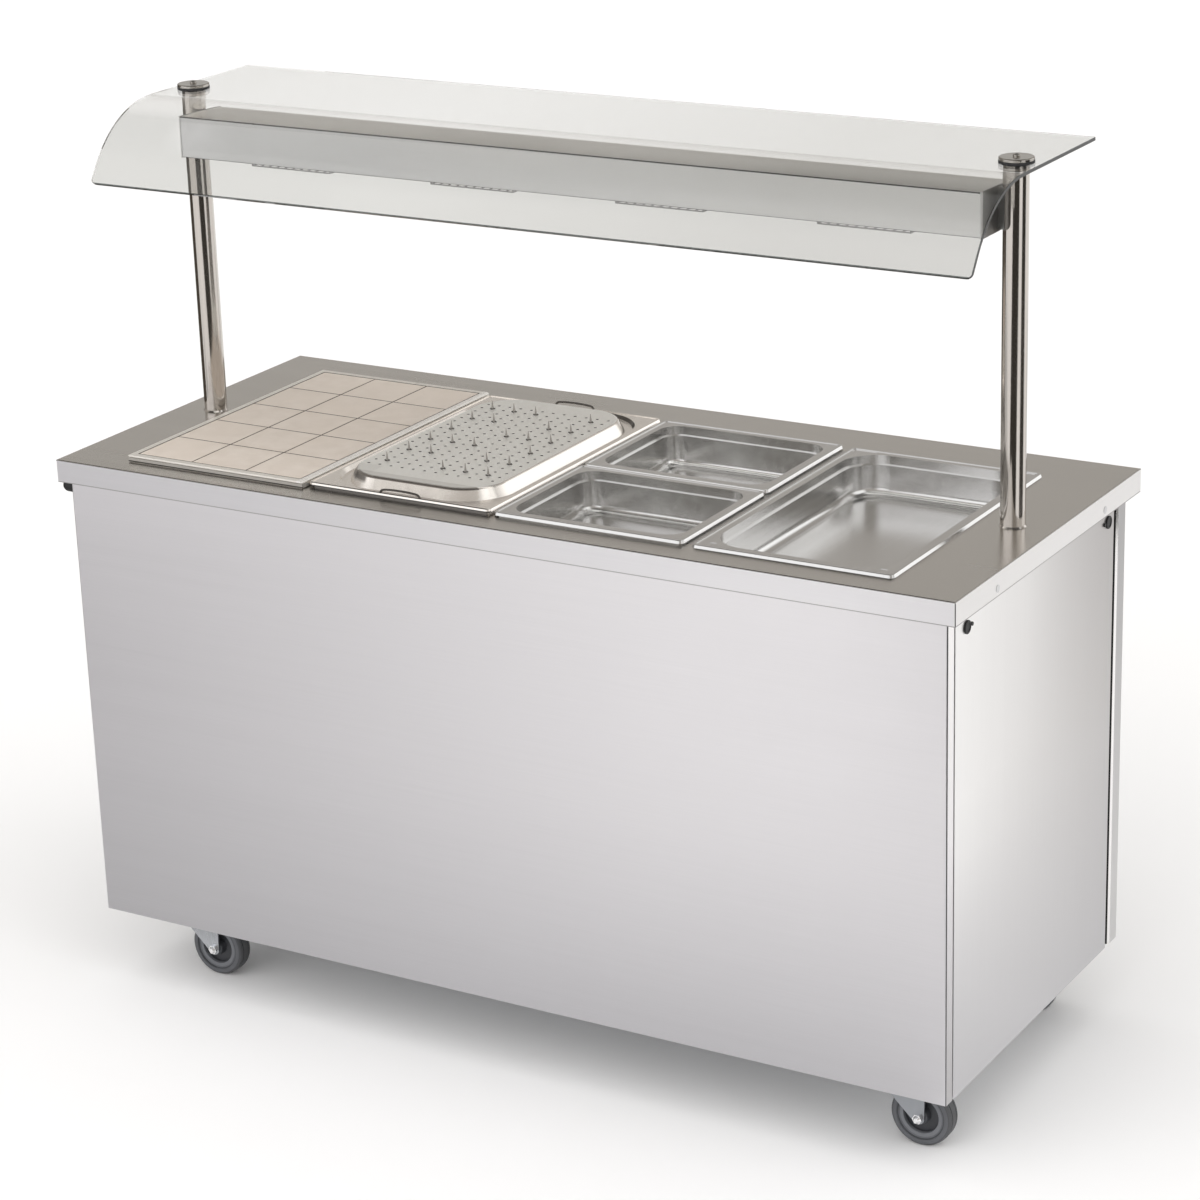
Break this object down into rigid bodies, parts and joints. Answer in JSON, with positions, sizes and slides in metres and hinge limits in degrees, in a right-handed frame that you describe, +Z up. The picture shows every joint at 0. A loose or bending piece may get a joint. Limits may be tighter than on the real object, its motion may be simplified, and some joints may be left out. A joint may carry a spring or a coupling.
{
  "type": "hot cupboard",
  "caption": "Mobile stainless hot cupboard: heated top with lift-out pans, tile plate and spiked carving dish, curved glass gantry with heat lamps, sliding doors, braked castors.",
  "frame": {"origin": "on the floor under the middle of the worktop", "axes": "+Z up, +X along the length to the right as the customer faces it, +Y from the customer side towards the operator side"},
  "size_m": [1.5934, 0.682, 1.4762],
  "materials": {
    "worktop_steel": "satin",
    "panel_steel": "satin",
    "fixing_steel": "satin",
    "inner_steel": "satin",
    "bar_steel": "satin",
    "pan_steel": "polished",
    "dish_steel": "polished",
    "tile_frame_steel": "satin",
    "tile_ceramic": "matte",
    "pillar_chrome": "polished",
    "clear_glass": "gloss",
    "black_rubber": "matte",
    "housing_steel": "satin",
    "reflector_aluminium": "polished",
    "lamp_ceramic": "matte",
    "lamp_quartz": "gloss",
    "guard_wire": "satin",
    "element_steel": "satin",
    "insulation_quilt": "matte",
    "door_steel": "satin",
    "handle_plastic": "matte",
    "control_plastic": "satin",
    "pilot_lens": "gloss",
    "zinc_steel": "satin",
    "hub_plastic": "satin",
    "tyre_grey": "matte"
  },
  "bodies": {
    "cabinet": {"bain_marie_well": "inner_steel", "base_chassis": "inner_steel", "cable_gland": "control_plastic", "castor_plates": "zinc_steel", "control_bodies": "control_plastic", "control_panel": "door_steel", "corner_posts": "panel_steel", "cupboard_floor": "inner_steel", "cupboard_liner": "inner_steel", "door_tracks": "inner_steel", "edge_fixings": "fixing_steel", "end_panels": "panel_steel", "end_plugs": "black_rubber", "front_panel": "panel_steel", "gantry_end_plates": "housing_steel", "gantry_housing": "housing_steel", "gantry_pillars": "pillar_chrome", "glass_canopy": "clear_glass", "glass_clamps": "pillar_chrome", "glass_gaskets": "black_rubber", "heating_elements": "element_steel", "insulation": "insulation_quilt", "lamp_guards": "guard_wire", "lamp_holders": "lamp_ceramic", "lamp_reflectors": "reflector_aluminium", "pillar_sockets": "inner_steel", "pilot_lights": "pilot_lens", "quartz_lamps": "lamp_quartz", "shelf": "inner_steel", "shelf_rails": "inner_steel", "well_bars": "bar_steel", "worktop": "worktop_steel"},
    "left_door": {"door_left": "door_steel", "door_handle_left": "handle_plastic"},
    "right_door": {"door_right": "door_steel", "door_handle_right": "handle_plastic"},
    "cupboard_knob": {"knob_cupboard": "control_plastic"},
    "well_knob": {"knob_well": "control_plastic"},
    "lamp_rocker": {"lamp_switch": "control_plastic"},
    "tile_plate": {"tile_frame": "tile_frame_steel", "carvery_tiles": "tile_ceramic"},
    "carving_dish": {"carving_dish": "dish_steel", "dish_loops": "dish_steel"},
    "front_half_pan": {"half_pan_front": "pan_steel"},
    "rear_half_pan": {"half_pan_rear": "pan_steel"},
    "full_size_pan": {"full_pan": "pan_steel"},
    "castor_front_left": {"castor_fork_front_left": "zinc_steel"},
    "wheel_front_left": {"castor_hub_front_left": "hub_plastic", "castor_tyre_front_left": "tyre_grey"},
    "castor_front_right": {"castor_fork_front_right": "zinc_steel"},
    "wheel_front_right": {"castor_hub_front_right": "hub_plastic", "castor_tyre_front_right": "tyre_grey"},
    "castor_rear_left": {"castor_fork_rear_left": "zinc_steel"},
    "wheel_rear_left": {"castor_hub_rear_left": "hub_plastic", "castor_tyre_rear_left": "tyre_grey"},
    "castor_rear_right": {"castor_fork_rear_right": "zinc_steel"},
    "wheel_rear_right": {"castor_hub_rear_right": "hub_plastic", "castor_tyre_rear_right": "tyre_grey"},
    "brake_rear_left": {"brake_pedal_rear_left": "zinc_steel"},
    "brake_rear_right": {"brake_pedal_rear_right": "zinc_steel"}
  },
  "joints": [
    {"name": "left_door_slide", "type": "slide", "parent": "cabinet", "child": "left_door", "axis": [1, 0, 0], "range_m": [0, 0.726]},
    {"name": "right_door_slide", "type": "slide", "parent": "cabinet", "child": "right_door", "axis": [-1, 0, 0], "range_m": [0, 0.726]},
    {"name": "cupboard_knob_turn", "type": "hinge", "parent": "cabinet", "child": "cupboard_knob", "pos_m": [-0.46, 0.3045, 0.835], "axis": [0, -1, 0], "range_deg": [0, 270]},
    {"name": "well_knob_turn", "type": "hinge", "parent": "cabinet", "child": "well_knob", "pos_m": [-0.3, 0.3045, 0.835], "axis": [0, -1, 0], "range_deg": [0, 270]},
    {"name": "lamp_rocker_tilt", "type": "hinge", "parent": "cabinet", "child": "lamp_rocker", "pos_m": [-0.21, 0.305, 0.835], "axis": [1, 0, 0], "range_deg": [0, 16]},
    {"name": "tile_plate_lift", "type": "slide", "parent": "cabinet", "child": "tile_plate", "axis": [0, 0, 1], "range_m": [0, 0.15]},
    {"name": "carving_dish_lift", "type": "slide", "parent": "cabinet", "child": "carving_dish", "axis": [0, 0, 1], "range_m": [0, 0.15]},
    {"name": "front_half_pan_lift", "type": "slide", "parent": "cabinet", "child": "front_half_pan", "axis": [0, 0, 1], "range_m": [0, 0.15]},
    {"name": "rear_half_pan_lift", "type": "slide", "parent": "cabinet", "child": "rear_half_pan", "axis": [0, 0, 1], "range_m": [0, 0.15]},
    {"name": "full_size_pan_lift", "type": "slide", "parent": "cabinet", "child": "full_size_pan", "axis": [0, 0, 1], "range_m": [0, 0.15]},
    {"name": "swivel_front_left", "type": "hinge", "parent": "cabinet", "child": "castor_front_left", "pos_m": [-0.656, -0.227, 0.11], "axis": [0, 0, 1], "continuous": true},
    {"name": "roll_front_left", "type": "hinge", "parent": "castor_front_left", "child": "wheel_front_left", "pos_m": [-0.6185, -0.227, 0.05], "axis": [0, 1, 0], "continuous": true},
    {"name": "swivel_front_right", "type": "hinge", "parent": "cabinet", "child": "castor_front_right", "pos_m": [0.656, -0.227, 0.11], "axis": [0, 0, 1], "continuous": true},
    {"name": "roll_front_right", "type": "hinge", "parent": "castor_front_right", "child": "wheel_front_right", "pos_m": [0.6935, -0.227, 0.05], "axis": [0, 1, 0], "continuous": true},
    {"name": "swivel_rear_left", "type": "hinge", "parent": "cabinet", "child": "castor_rear_left", "pos_m": [-0.656, 0.227, 0.11], "axis": [0, 0, 1], "continuous": true},
    {"name": "roll_rear_left", "type": "hinge", "parent": "castor_rear_left", "child": "wheel_rear_left", "pos_m": [-0.66571, 0.26322, 0.05], "axis": [-0.9659, -0.2588, 0], "continuous": true},
    {"name": "brake_rear_left_lift", "type": "hinge", "parent": "castor_rear_left", "child": "brake_rear_left", "pos_m": [-0.66946, 0.27723, 0.11], "axis": [0.9659, 0.2588, 0], "range_deg": [0, 12]},
    {"name": "swivel_rear_right", "type": "hinge", "parent": "cabinet", "child": "castor_rear_right", "pos_m": [0.656, 0.227, 0.11], "axis": [0, 0, 1], "continuous": true},
    {"name": "roll_rear_right", "type": "hinge", "parent": "castor_rear_right", "child": "wheel_rear_right", "pos_m": [0.66571, 0.26322, 0.05], "axis": [-0.9659, 0.2588, 0], "continuous": true},
    {"name": "brake_rear_right_lift", "type": "hinge", "parent": "castor_rear_right", "child": "brake_rear_right", "pos_m": [0.66946, 0.27723, 0.11], "axis": [0.9659, -0.2588, 0], "range_deg": [0, 12]}
  ]
}
